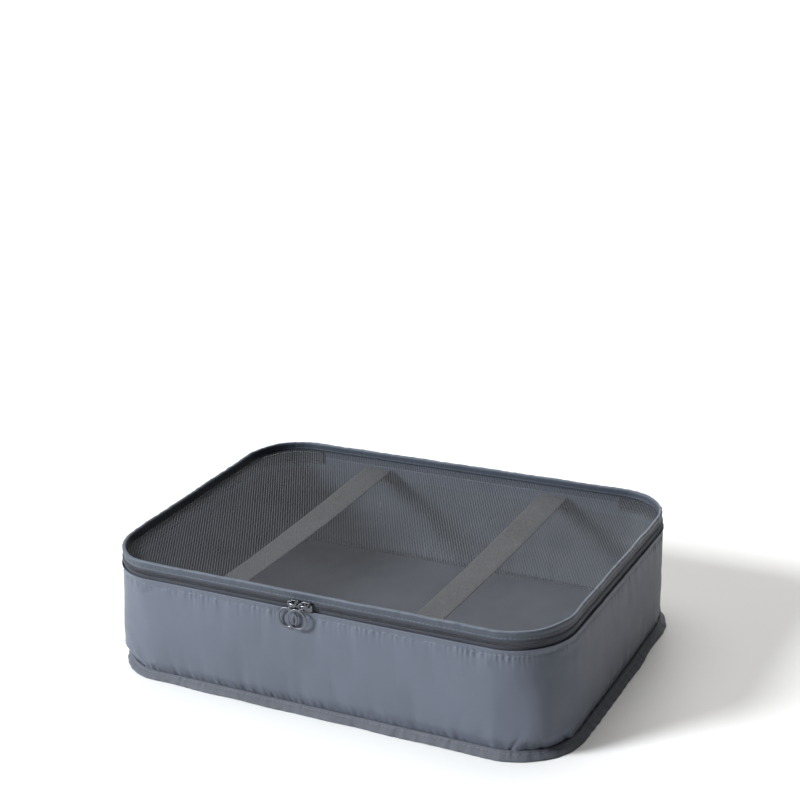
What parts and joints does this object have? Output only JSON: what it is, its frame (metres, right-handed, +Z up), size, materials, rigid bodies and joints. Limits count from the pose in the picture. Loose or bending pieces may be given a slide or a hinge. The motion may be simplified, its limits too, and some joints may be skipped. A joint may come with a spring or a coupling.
{
  "type": "packing cube",
  "caption": "Soft rectangular packing cube with a see-through mesh lid that zips open round the front and sides, inner holding straps and a carry handle.",
  "frame": {"origin": "centre of the base, on the surface that the cube rests on", "axes": "+X along the length, -Y towards the zipper front with the sliders, +Y towards the hinge side with the handle, +Z up towards the mesh lid"},
  "size_m": [0.4136, 0.3117, 0.1045],
  "materials": {
    "wall_fabric": "satin woven nylon, slate grey-blue",
    "binding_fabric": "folded binding tape, slate grey-blue",
    "rim_fabric": "folded binding tape, steel blue",
    "mesh_fabric": "open knitted mesh, dark grey",
    "zip_tape": "woven zipper tape, dark grey",
    "zip_coil": "nylon coil, dark grey",
    "strap_elastic": "heathered woven elastic, dark grey",
    "handle_webbing": "narrow woven webbing, grey-blue",
    "slider_metal": "gunmetal plating"
  },
  "bodies": {
    "case": {"base_panel": "wall_fabric", "wall_band": "wall_fabric", "wall_back": "wall_fabric", "bottom_binding": "binding_fabric", "lower_zip_tape": "zip_tape", "lower_zip_coil": "zip_coil", "zip_end_cap_left": "wall_fabric", "zip_end_cap_right": "wall_fabric", "strap_left": "strap_elastic", "strap_right": "strap_elastic", "handle_tab_left": "handle_webbing", "handle_tab_right": "handle_webbing"},
    "lid": {"mesh_panel": "mesh_fabric", "rim_binding": "rim_fabric", "hinge_strip": "wall_fabric", "upper_zip_tape": "zip_tape", "upper_zip_coil": "zip_coil"},
    "left_slider": {"slider_left": "slider_metal", "bridge_left": "slider_metal"},
    "right_slider": {"slider_right": "slider_metal", "bridge_right": "slider_metal"},
    "left_pull": {"pull_left": "slider_metal"},
    "right_pull": {"pull_right": "slider_metal"},
    "carry_handle": {"handle_webbing": "handle_webbing"}
  },
  "joints": [
    {"name": "lid_hinge", "type": "hinge", "parent": "case", "child": "lid", "pos_m": [0, 0.1395, 0.0943], "axis": [-1, 0, 0], "range_deg": [0, 180]},
    {"name": "left_slider_slide", "type": "slide", "parent": "case", "child": "left_slider", "axis": [-1, 0, 0], "range_m": [0, 0.132]},
    {"name": "right_slider_slide", "type": "slide", "parent": "case", "child": "right_slider", "axis": [1, 0, 0], "range_m": [0, 0.146]},
    {"name": "left_pull_swing", "type": "hinge", "parent": "left_slider", "child": "left_pull", "pos_m": [-0.0152, -0.1416, 0.0962], "axis": [0, 1, 0], "range_deg": [-56, 44]},
    {"name": "right_pull_swing", "type": "hinge", "parent": "right_slider", "child": "right_pull", "pos_m": [-0.0046, -0.1429, 0.0962], "axis": [0, 1, 0], "range_deg": [-67, 18]},
    {"name": "handle_swing", "type": "hinge", "parent": "case", "child": "carry_handle", "pos_m": [0, 0.1448, 0.048], "axis": [1, 0, 0], "range_deg": [-30, 110]}
  ]
}
